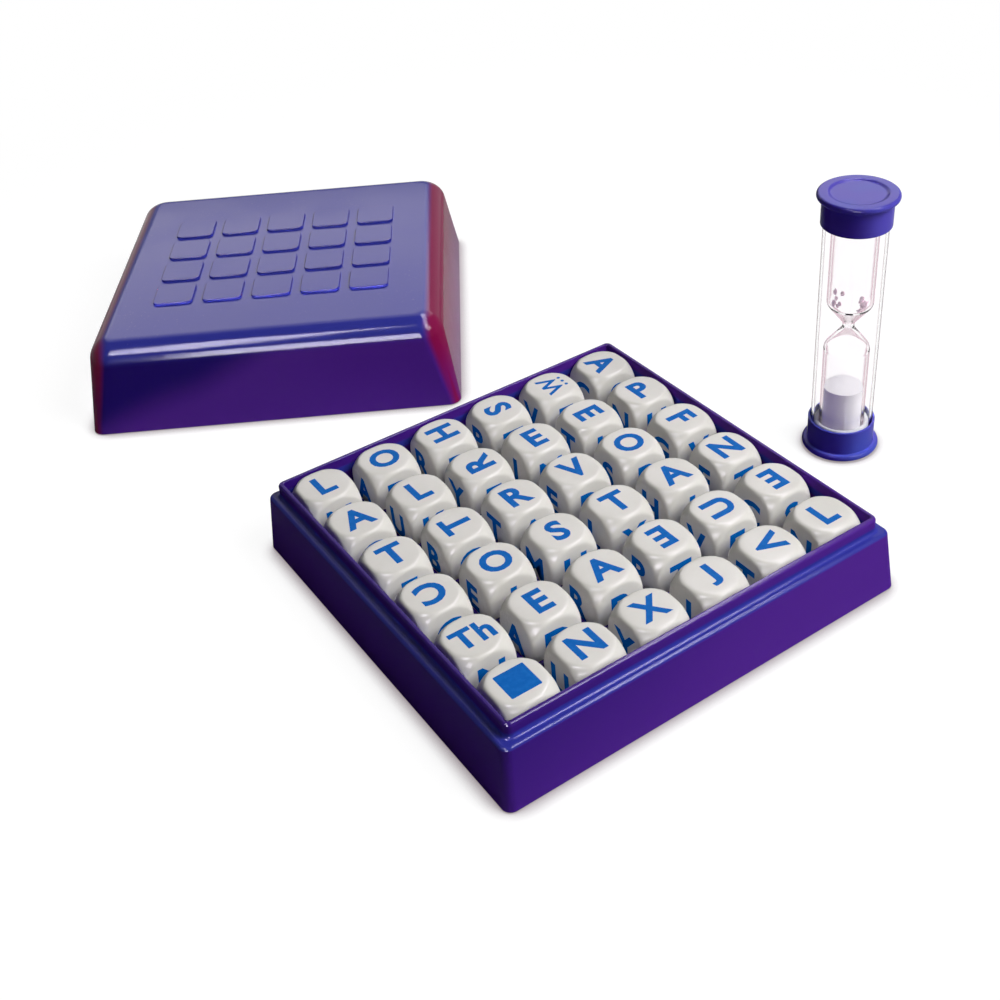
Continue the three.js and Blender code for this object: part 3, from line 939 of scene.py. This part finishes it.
class WORDGAME_OT_dice(Operator):
    """Build the thirty-six letter dice, each with a letter on every face"""

    bl_idname = "word_game.dice"
    bl_label = "Letter dice"

    def execute(self, context):
        sizes = context.scene.word_game_dice
        plain = as_mesh("die", self.body(sizes))
        ivory, ink = ivory_plastic(), letter_ink()
        signs = {}
        for r, line in enumerate(UPPER_FACES):
            for c, face in enumerate(line.split()):
                name = f"die_{'abcdef'[c]}{r + 1}"
                low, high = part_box(name)
                place = Matrix.Translation((low + high) / 2)
                piece(f"{name}_body", copies(plain, [place]), ivory, name, name)
                faces = [(face[:-1], (0, 0, 1), POINTERS[face[-1]])]
                start = 5 * (6 * r + c)
                for turn, (outward, upward) in enumerate(OTHER_FACES):
                    letter = OTHER_LETTERS[(start + 7 * turn) % len(OTHER_LETTERS)]
                    faces.append((letter, outward, upward))
                drawn = bmesh.new()
                for sign, outward, upward in faces:
                    if sign not in signs:
                        signs[sign] = self.sign(sign, sizes)
                    stand = place @ self.stand(Vector(outward), Vector(upward), sizes)
                    add_copy(drawn, signs[sign], stand)
                piece(f"{name}_letters", drawn, ink, name)
        return {"FINISHED"}

    def body(self, sizes):
        """A cube whose corners a sphere cuts off, about the origin, in rings about each face."""
        bm = bmesh.new()
        bmesh.ops.create_cube(bm, size=2)
        last = len(DIE_RINGS) - 1
        bmesh.ops.subdivide_edges(bm, edges=bm.edges, cuts=2 * last - 1, use_grid_fill=True)
        half, ball, soft = sizes.side / 2, sizes.sphere / 2, sizes.blend
        power = sizes.squareness
        crease = math.sqrt(ball * ball - half * half)
        for v in bm.verts:
            outward, far, near = sorted(range(3), key=lambda i: -abs(v.co[i]))
            reach = abs(v.co[far])
            around = math.pi / 4 * abs(v.co[near]) / reach if reach else 0
            ring, out = DIE_RINGS[round(reach * last)]
            place = [0, 0, 0]
            place[outward] = half
            place[far] = ring * crease * math.cos(around) * (1 - out) + half * out
            place[near] = (
                ring * crease * math.sin(around) * (1 - out) + half * math.tan(around) * out
            )
            ray = Vector(math.copysign(p, c) for p, c in zip(place, v.co)).normalized()
            norm = sum(abs(part) ** power for part in ray) ** (1 / power)
            cube = half / norm
            v.co = ray * (cube - soft * math.log(1 + math.exp((cube - ball) / soft)))
        return bm

    def sign(self, text, sizes):
        """A letter, pair or square as a thin solid, lying flat about the origin."""
        if text == "#":
            bm = block(sizes.square, sizes.square, 1, -0.5)
            upright = [e for e in bm.edges if abs(e.verts[0].co.z - e.verts[1].co.z) > 0.5]
            bevel(bm, upright, sizes.square_round, 3)
            bmesh.ops.scale(bm, vec=(1, 1, sizes.letter_depth), verts=bm.verts)
            return as_mesh("sign", bm)
        bm = bmesh.new()
        bm.from_mesh(self.letters(text, sizes))
        bmesh.ops.remove_doubles(bm, verts=bm.verts, dist=1e-4)
        low = Vector([min(v.co[i] for v in bm.verts) for i in range(3)])
        high = Vector([max(v.co[i] for v in bm.verts) for i in range(3)])
        bmesh.ops.translate(bm, vec=-(low + high) / 2, verts=bm.verts)
        width = sizes.pair_width if len(text) > 1 else sizes.letter_width
        size = min(sizes.letter_height / (high.y - low.y), width / (high.x - low.x))
        thin = sizes.letter_depth / (high.z - low.z)
        wide = size * LETTER_STRETCH.get(text, 1)
        bmesh.ops.scale(bm, vec=(wide, size, thin), verts=bm.verts)
        if text == "W":
            below = -(high.y - low.y) * size / 2 - 2.4 * sizes.dot
            for aside in (-1, 0, 1):
                disc = bmesh.ops.create_cone(
                    bm,
                    cap_ends=True,
                    segments=20,
                    radius1=sizes.dot,
                    radius2=sizes.dot,
                    depth=sizes.letter_depth,
                )["verts"]
                bmesh.ops.translate(bm, vec=(aside * 4 * sizes.dot, below, 0), verts=disc)
        return as_mesh("sign", bm)

    def letters(self, text, sizes):
        """The mesh of a text in the built-in font, as the font has it but bolder."""
        curve = bpy.data.curves.new("sign", "FONT")
        curve.body, curve.size, curve.resolution_u = text, 1, 4
        curve.offset = sizes.letter_bold * LETTER_WEIGHT.get(text, 1)
        curve.space_character = 1.1
        curve.extrude = 0.1
        holder = bpy.data.objects.new("sign", curve)
        bpy.context.scene.collection.objects.link(holder)
        bpy.context.view_layer.update()
        shown = holder.evaluated_get(bpy.context.evaluated_depsgraph_get())
        flat = bpy.data.meshes.new_from_object(shown)
        bpy.data.objects.remove(holder)
        return flat

    def stand(self, outward, upward, sizes):
        """Where a sign goes on a die about the origin, with its top towards upward."""
        turn = Matrix((upward.cross(outward), upward, outward)).transposed().to_4x4()
        rise = sizes.side / 2 + sizes.letter_raise - sizes.letter_depth / 2
        return Matrix.Translation(outward * rise) @ turn


class WORDGAME_OT_cover(Operator):
    """Build the cover: a drafted shell with a round along its top, and its raised tiles"""

    bl_idname = "word_game.cover"
    bl_label = "Cover"

    def execute(self, context):
        sizes = context.scene.word_game_cover
        centre = middle_of("cover")
        height, wall, mouth = sizes.height, sizes.wall, sizes.mouth
        lean = math.tan(sizes.draft)
        take = math.tan((math.pi / 2 - sizes.draft) / 2)
        inner_mouth = mouth - wall / math.cos(sizes.draft)
        inner_height = height - wall
        inner_round = (sizes.top_round - wall) * take
        inner_top = inner_mouth - inner_height * lean
        shell = turned(
            [
                (0, inner_height, 0, 0),
                (inner_top, inner_height, sizes.corner_top - wall, inner_round),
                (inner_mouth, 0, sizes.corner_mouth - wall, sizes.mouth_round),
                (mouth, 0, sizes.corner_mouth, sizes.mouth_round),
                (mouth - height * lean, height, sizes.corner_top, sizes.top_round * take),
                (0, height, 0, 0),
            ]
        )
        place = Matrix.Translation(centre) @ Matrix.Rotation(sizes.turn, 4, "Z")
        bmesh.ops.transform(shell, matrix=place, verts=shell.verts)
        violet = violet_plastic(
            "violet_cover",
            centre,
            sizes.turn,
            mouth,
            lean,
            crimson=0.95,
            lean=(-0.08, -0.046),
            band=(
                height - sizes.top_round,
                height - 0.4 * sizes.top_round,
                2 * height,
                3 * height,
            ),
            gloss=0.05,
            coat=0,
        )
        piece("cover_shell", shell, violet, "cover", "cover")
        tile = as_mesh("tile", self.tile(sizes))
        step = sizes.tile + sizes.tile_gap
        places = []
        for row in range(sizes.tile_rows):
            for column in range(sizes.tile_columns):
                x = (column - (sizes.tile_columns - 1) / 2) * step
                y = (row - (sizes.tile_rows - 1) / 2) * step
                places.append(place @ Matrix.Translation((x, y, height)))
        piece("cover_tiles", copies(tile, places), violet, "cover")
        return {"FINISHED"}

    def tile(self, sizes):
        """A low tile with round corners, sunk into the cover's top by half its wall."""
        sunk = sizes.wall / 2
        bm = block(sizes.tile, sizes.tile, sizes.tile_height + sunk, -sunk)
        upright = [e for e in bm.edges if e.verts[0].co.xy == e.verts[1].co.xy]
        bevel(bm, upright, sizes.tile_corner, 6)
        upper = [
            e
            for e in bm.edges
            if all(v.co.z > sizes.tile_height - TINY for v in e.verts)
        ]
        bevel(bm, upper, sizes.tile_round, 4)
        return bm


class WORDGAME_OT_timer_caps(Operator):
    """Build the timer's two blue caps"""

    bl_idname = "word_game.timer_caps"
    bl_label = "Timer caps"

    def execute(self, context):
        sizes = context.scene.word_game_timer
        seat = sizes.tube_radius + sizes.tube_clearance
        cap = turned_round(
            [
                (0, sizes.face_depth, 0),
                (sizes.face_radius - sizes.face_slope, sizes.face_depth, sizes.face_round),
                (sizes.face_radius, 0, sizes.face_round),
                (sizes.flange_radius, 0, sizes.flange_round),
                (sizes.flange_radius, sizes.flange, sizes.flange_round),
                (sizes.cap_radius, sizes.flange, sizes.face_round),
                (sizes.cap_radius, sizes.cap_depth, sizes.sleeve_round),
                (seat, sizes.cap_depth, sizes.sleeve_lip),
                (seat, sizes.cap_end, 0),
                (0, sizes.cap_end, 0),
            ]
        )
        cap = as_mesh("cap", cap)
        blue = cap_plastic()
        stand = Matrix.Translation(middle_of("timer_bottom_cap"))
        over = Matrix.Translation((0, 0, sizes.height)) @ Matrix.Rotation(math.pi, 4, "X")
        for name, place in (("timer_bottom_cap", stand), ("timer_top_cap", stand @ over)):
            piece(f"{name}_body", copies(cap, [place]), blue, "timer", name)
        return {"FINISHED"}


def bulb_rows(sizes, neck, bulb, neck_round, shoulder_round, wall_end):
    """Rows of a double bulb's section up to wall_end, where its upper cylinder stops.

    The lower shoulder comes first, then the neck's hollow and the upper shoulder.
    """
    across = bulb - shoulder_round - neck - neck_round
    spread = math.hypot(across, sizes.shoulder)
    lean = math.atan2(across, sizes.shoulder)
    bend = lean + math.asin((neck_round + shoulder_round) / spread)
    tip = neck + neck_round - neck_round / math.cos(bend)
    rise = (bulb - tip) / math.tan(bend)
    middle = sizes.height / 2
    rounding = shoulder_round * math.tan(bend / 2)
    hollow = []
    for index in range(NECK_STEPS + 1):
        part = bend * (2 * index / NECK_STEPS - 1)
        hollow.append(
            (neck + neck_round * (1 - math.cos(part)), middle + neck_round * math.sin(part), 0)
        )
    return [(bulb, middle - rise, rounding), *hollow, (bulb, middle + rise, rounding), wall_end]


class WORDGAME_OT_timer_glass(Operator):
    """Build the timer's clear tube, its double bulb of glass, the packing rings and the stopper"""

    bl_idname = "word_game.timer_glass"
    bl_label = "Timer glass"

    def execute(self, context):
        sizes = context.scene.word_game_timer
        colours = context.scene.word_game_finishes
        foot = sizes.cap_end + sizes.seat
        top = sizes.height - foot
        bore = sizes.tube_radius - sizes.tube_wall
        inside = sizes.bulb_radius - sizes.bulb_wall
        tube = ring(bore, sizes.tube_radius, foot, top, sizes.cut_round, sizes.cut_round)
        clear = clear_material("clear_tube", colours.tube_painted_outline, ior=1.14, start=0.72, full=0.88)
        self.add("timer_tube", tube, clear, "clear_tube")
        glass = clear_material("bulb_glass", colours.glass_painted_outline, ior=1.22, start=0.52, full=0.78)
        self.add("timer_glass", self.bulbs(sizes, foot, top, inside), glass, "bulb_glass")
        ring_in = sizes.bulb_radius + sizes.packing_clearance
        ring_out = bore - sizes.packing_clearance
        white = foam_white("white_packing", colours.packing, cells_per_metre=2600)
        rounds = (sizes.packing_foot, sizes.packing_top)
        for name, low in (("bottom", foot), ("top", top - sizes.packing)):
            packing = ring(ring_in, ring_out, low, low + sizes.packing, *rounds)
            self.add(f"timer_{name}_packing", packing, white, "white_packing")
        radius = inside - sizes.fill_clearance
        plug = rod(radius, foot, foot + sizes.plug, sizes.plug_foot, sizes.plug_top)
        rubber = foam_white("stopper_rubber", colours.stopper, cells_per_metre=1800)
        self.add("timer_stopper", plug, rubber, "white_packing")
        return {"FINISHED"}

    def bulbs(self, sizes, foot, top, inside):
        """The double bulb's glass, with its inner wall, open at the foot."""
        outer = bulb_rows(
            sizes,
            sizes.neck_radius,
            sizes.bulb_radius,
            sizes.neck_round,
            sizes.shoulder_round,
            (sizes.bulb_radius, top, sizes.bulb_round),
        )
        inner = bulb_rows(
            sizes,
            sizes.neck_bore,
            inside,
            sizes.neck_round + sizes.neck_radius - sizes.neck_bore,
            sizes.shoulder_round - sizes.bulb_wall,
            (inside, top - sizes.bulb_wall, sizes.bulb_hollow),
        )
        feet = [
            (inside, foot, sizes.cut_round),
            (sizes.bulb_radius, foot, sizes.cut_round),
        ]
        glass = turned_round(feet + outer + [(0, top, 0)])
        hollow = turned_round(feet[:1] + inner + [(0, top - sizes.bulb_wall, 0)])
        bmesh.ops.reverse_faces(hollow, faces=hollow.faces)
        hollow.from_mesh(as_mesh("outer", glass))
        bmesh.ops.remove_doubles(hollow, verts=hollow.verts, dist=TINY)
        bmesh.ops.recalc_face_normals(hollow, faces=hollow.faces)
        return hollow

    def add(self, name, bm, material, slot):
        """Places a piece of the timer, which stands for the node of that name."""
        bmesh.ops.translate(bm, vec=middle_of("timer_bottom_cap"), verts=bm.verts)
        piece(f"{name}_body", bm, material, "timer", name)


class WORDGAME_OT_timer_sand(Operator):
    """Build the timer's sand and the grains that cling in the upper bulb"""

    bl_idname = "word_game.timer_sand"
    bl_label = "Timer sand"

    def execute(self, context):
        sizes = context.scene.word_game_timer
        colours = context.scene.word_game_finishes
        centre = middle_of("timer_bottom_cap")
        low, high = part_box("timer_sand")
        radius = (high.x - low.x) / 2
        level = high.z - sizes.heap
        sand = rod(radius, low.z, level, sizes.sand_foot, 0)
        top = [f for f in sand.faces if f.normal.z > 0.9]
        for _ in range(SAND_RINGS - 1):
            bmesh.ops.inset_region(
                sand, faces=top, thickness=radius / SAND_RINGS, depth=0, use_even_offset=True
            )
            top = [f for f in sand.faces if f.normal.z > 0.9 and len(f.verts) > 4]
        bmesh.ops.poke(sand, faces=top)
        for v in sand.verts:
            if v.co.z > level - TINY:
                out = v.co.xy.length / radius
                ripple = sum(
                    noise.noise(Vector((v.co.x, v.co.y, plane)) * scale) * rise
                    for plane, scale, rise in SAND_RIPPLES
                )
                calm = 1 - max(0.0, out - RIPPLE_FADE) / (1 - RIPPLE_FADE)
                dome = DOME_SHARE * (1 - out * out)
                v.co.z += sizes.heap * (dome + RIPPLE_SHARE * ripple * calm)
        bmesh.ops.recalc_face_normals(sand, faces=sand.faces)
        white = sand_grains(
            "white_sand", colours.sand, colours.sand_dark, centre, lilac_share=0.8, gloss=0.36
        )
        pink = sand_grains(
            "clinging_sand", colours.pink_sand, colours.pink_dark, centre, lilac_share=0, gloss=0.9
        )
        lumps = self.clinging(sizes)
        for bm in (sand, lumps):
            bmesh.ops.translate(bm, vec=centre, verts=bm.verts)
        piece("timer_sand_body", sand, white, "timer", "timer_sand", smooth_degrees=60)
        piece("timer_sand_clinging", lumps, pink, "timer", smooth_degrees=180)
        return {"FINISHED"}

    def clinging(self, sizes):
        """Lumps of sand on the inner wall of the upper bulb and in its funnel."""
        bm = bmesh.new()
        inside = sizes.bulb_radius - sizes.bulb_wall - sizes.fill_clearance
        for index, (turn, rise, size) in enumerate(CLINGING_LUMPS):
            lump = bmesh.ops.create_icosphere(bm, subdivisions=3, radius=size * MM)["verts"]
            for v in lump:
                v.co *= 1 + LUMP_ROUGHNESS * noise.noise(v.co * LUMP_SCALE + Vector((index, 0, 0)))
            reach = inside * min(1, rise / (sizes.shoulder / MM))
            tilt = FUNNEL_TILT if reach < inside else 0
            place = (reach - LUMP_SINK * size * MM, 0, sizes.height / 2 + rise * MM)
            bmesh.ops.scale(bm, vec=LUMP_SHAPE, verts=lump)
            self.turn(bm, lump, tilt, "Y")
            bmesh.ops.translate(bm, vec=place, verts=lump)
            self.turn(bm, lump, math.radians(turn), "Z")
        return bm

    def turn(self, bm, verts, turn, axis):
        """Turns vertices about an axis through the origin."""
        matrix = Matrix.Rotation(turn, 3, axis)
        bmesh.ops.rotate(bm, cent=(0, 0, 0), matrix=matrix, verts=verts)


class WORDGAME_OT_stage(Operator):
    """Build the floor, the lamps, the background and the camera"""

    bl_idname = "word_game.stage"
    bl_label = "Stage"

    def execute(self, context):
        scene = context.scene
        stage = scene.word_game_stage
        turn, rise = stage.camera_turn, stage.camera_rise
        ahead = Vector((-math.sin(turn), math.cos(turn), 0))
        level = Vector((math.cos(turn), math.sin(turn), 0))
        back = Vector((0, 0, math.sin(rise))) - math.cos(rise) * ahead
        self.camera(scene, stage, back, level)
        self.floor(scene, stage)
        self.world(scene, stage)
        for name, forward, right, over, width, height, strength, lights in LAMPS:
            lamp = bpy.data.lights.new(name, "AREA")
            lamp.shape, lamp.size, lamp.size_y = "RECTANGLE", width, height
            lamp.energy = strength * math.pi * width * height
            lamp.color = WHITE if lights else GLOSS_LAMP_COLOUR
            holder = bpy.data.objects.new(name, lamp)
            at = LAMP_AIM + ahead * forward + level * right + Vector((0, 0, over))
            aim = (at - LAMP_AIM).to_track_quat("Z", "Y")
            holder.matrix_world = Matrix.Translation(at) @ aim.to_matrix().to_4x4()
            holder.visible_camera = holder.visible_transmission = False
            holder.visible_diffuse = lights
            scene.collection.objects.link(holder)
        scene.view_settings.view_transform = "Standard"
        scene.cycles.max_bounces = scene.cycles.transmission_bounces = 32
        # A blurred glass would show the gloss-only lamps in the sand behind it
        scene.cycles.blur_glossy = 0.0
        return {"FINISHED"}

    def camera(self, scene, stage, back, level):
        """The camera, with the tray a little below its axis and turned by its roll."""
        roll = stage.camera_roll
        upright = back.cross(level)
        right = math.cos(roll) * level + math.sin(roll) * upright
        up = math.cos(roll) * upright - math.sin(roll) * level
        camera = bpy.data.cameras.new("camera")
        camera.lens, camera.sensor_width = CAMERA_LENS, 36
        camera.shift_x, camera.shift_y = CAMERA_SHIFT
        camera.clip_start = 0.01
        scene.camera = bpy.data.objects.new("camera", camera)
        place = Matrix((right, up, back)).transposed().to_4x4()
        aside = up * stage.camera_up - right * stage.camera_left
        place.translation = middle_of("tray") + aside + back * stage.camera_distance
        scene.camera.matrix_world = place
        scene.collection.objects.link(scene.camera)

    def floor(self, scene, stage):
        """A plain pale floor that looks white, with a painted shadow at the foot of each piece."""
        bm = bmesh.new()
        bmesh.ops.create_grid(bm, x_segments=1, y_segments=1, size=5)
        bmesh.ops.translate(bm, vec=(0, 0, -stage.floor_gap), verts=bm.verts)
        material, net, own, _ = start_material("floor")
        clear, gloss = self.sight(net)
        pale = net.mix(clear, (stage.floor,) * 3, (stage.floor_seen,) * 3)
        lit = net.add("BsdfDiffuse", {"Color": pale})
        # Painted shadow: what the camera sees of the floor glows white, darker where occlusion
        # shows at a piece's foot
        reach = {"Distance": stage.shadow_reach}
        open_air = net.add("AmbientOcclusion", reach, samples=16).outputs["AO"]
        shade = net.mix(net.ease(open_air, 0.45, 0.97), stage.floor_shade, WHITE)
        strength = net.times(clear, 1.08 - stage.floor_seen)
        lift = net.add("Emission", {"Color": shade, "Strength": strength})
        near = net.add("AddShader", {0: lit.outputs[0], 1: lift.outputs[0]})
        far = net.add("Emission", {"Color": (*WHITE, 1), "Strength": 1})
        away = net.add("VectorMath", {0: own}, operation="LENGTH").outputs["Value"]
        fade = net.times(net.ease(away, 0.22, 0.36), net.maths("MAXIMUM", clear, gloss))
        net.finish(net.mixed_shaders(fade, near, far))
        mesh = as_mesh("floor", bm)
        mesh.materials.append(material)
        floor = bpy.data.objects.new("floor", mesh)
        scene.collection.objects.link(floor)

    def sight(self, net):
        """Masks of what is seen plainly or through glass, and of what gloss shows."""
        path = net.add("LightPath", {}).outputs
        direct = net.maths("LESS_THAN", path["Diffuse Depth"], 0.5)
        plain = net.maths("MAXIMUM", path["Is Camera Ray"], path["Is Transmission Ray"])
        return net.times(plain, direct), net.times(path["Is Glossy Ray"], direct)

    def world(self, scene, stage):
        """Even pale light all round, white where the camera, gloss or glass sees it."""
        world = bpy.data.worlds.new("studio")
        world.use_nodes = True
        scene.world = world
        world.node_tree.nodes.clear()
        net = Nodes(world.node_tree)
        seen = net.maths("MAXIMUM", *self.sight(net))
        tone = net.mix(seen, (stage.world,) * 3, WHITE)
        net.finish(net.add("Background", {"Color": tone}), "World")


class WORDGAME_PT_panel(Panel):
    """Lists the pieces of the word game"""

    bl_idname = "WORDGAME_PT_panel"
    bl_label = "Word game"
    bl_space_type = "VIEW_3D"
    bl_region_type = "UI"
    bl_category = "Word game"

    def draw(self, context):
        for operator in OPERATORS:
            self.layout.operator(operator.bl_idname)


OPERATORS = (
    WORDGAME_OT_stage,
    WORDGAME_OT_tray,
    WORDGAME_OT_dice,
    WORDGAME_OT_cover,
    WORDGAME_OT_timer_caps,
    WORDGAME_OT_timer_glass,
    WORDGAME_OT_timer_sand,
)
SETTINGS = {
    "word_game_tray": TraySizes,
    "word_game_dice": DiceSizes,
    "word_game_cover": CoverSizes,
    "word_game_timer": TimerSizes,
    "word_game_finishes": Finishes,
    "word_game_stage": StageSettings,
}


def register():
    """Registers the classes and adds the settings to the scene."""
    for name, group in SETTINGS.items():
        bpy.utils.register_class(group)
        setattr(bpy.types.Scene, name, PointerProperty(type=group))
    for kind in (*OPERATORS, WORDGAME_PT_panel):
        bpy.utils.register_class(kind)


def unregister():
    """Takes the classes and settings away."""
    for kind in reversed((*OPERATORS, WORDGAME_PT_panel)):
        bpy.utils.unregister_class(kind)
    for name, group in SETTINGS.items():
        delattr(bpy.types.Scene, name)
        bpy.utils.unregister_class(group)


def main():
    """Builds the whole set."""
    register()
    bpy.ops.word_game.stage()
    bpy.ops.word_game.tray()
    bpy.ops.word_game.dice()
    bpy.ops.word_game.cover()
    bpy.ops.word_game.timer_caps()
    bpy.ops.word_game.timer_glass()
    bpy.ops.word_game.timer_sand()
    bpy.context.view_layer.update()


if __name__ == "__main__":
    main()
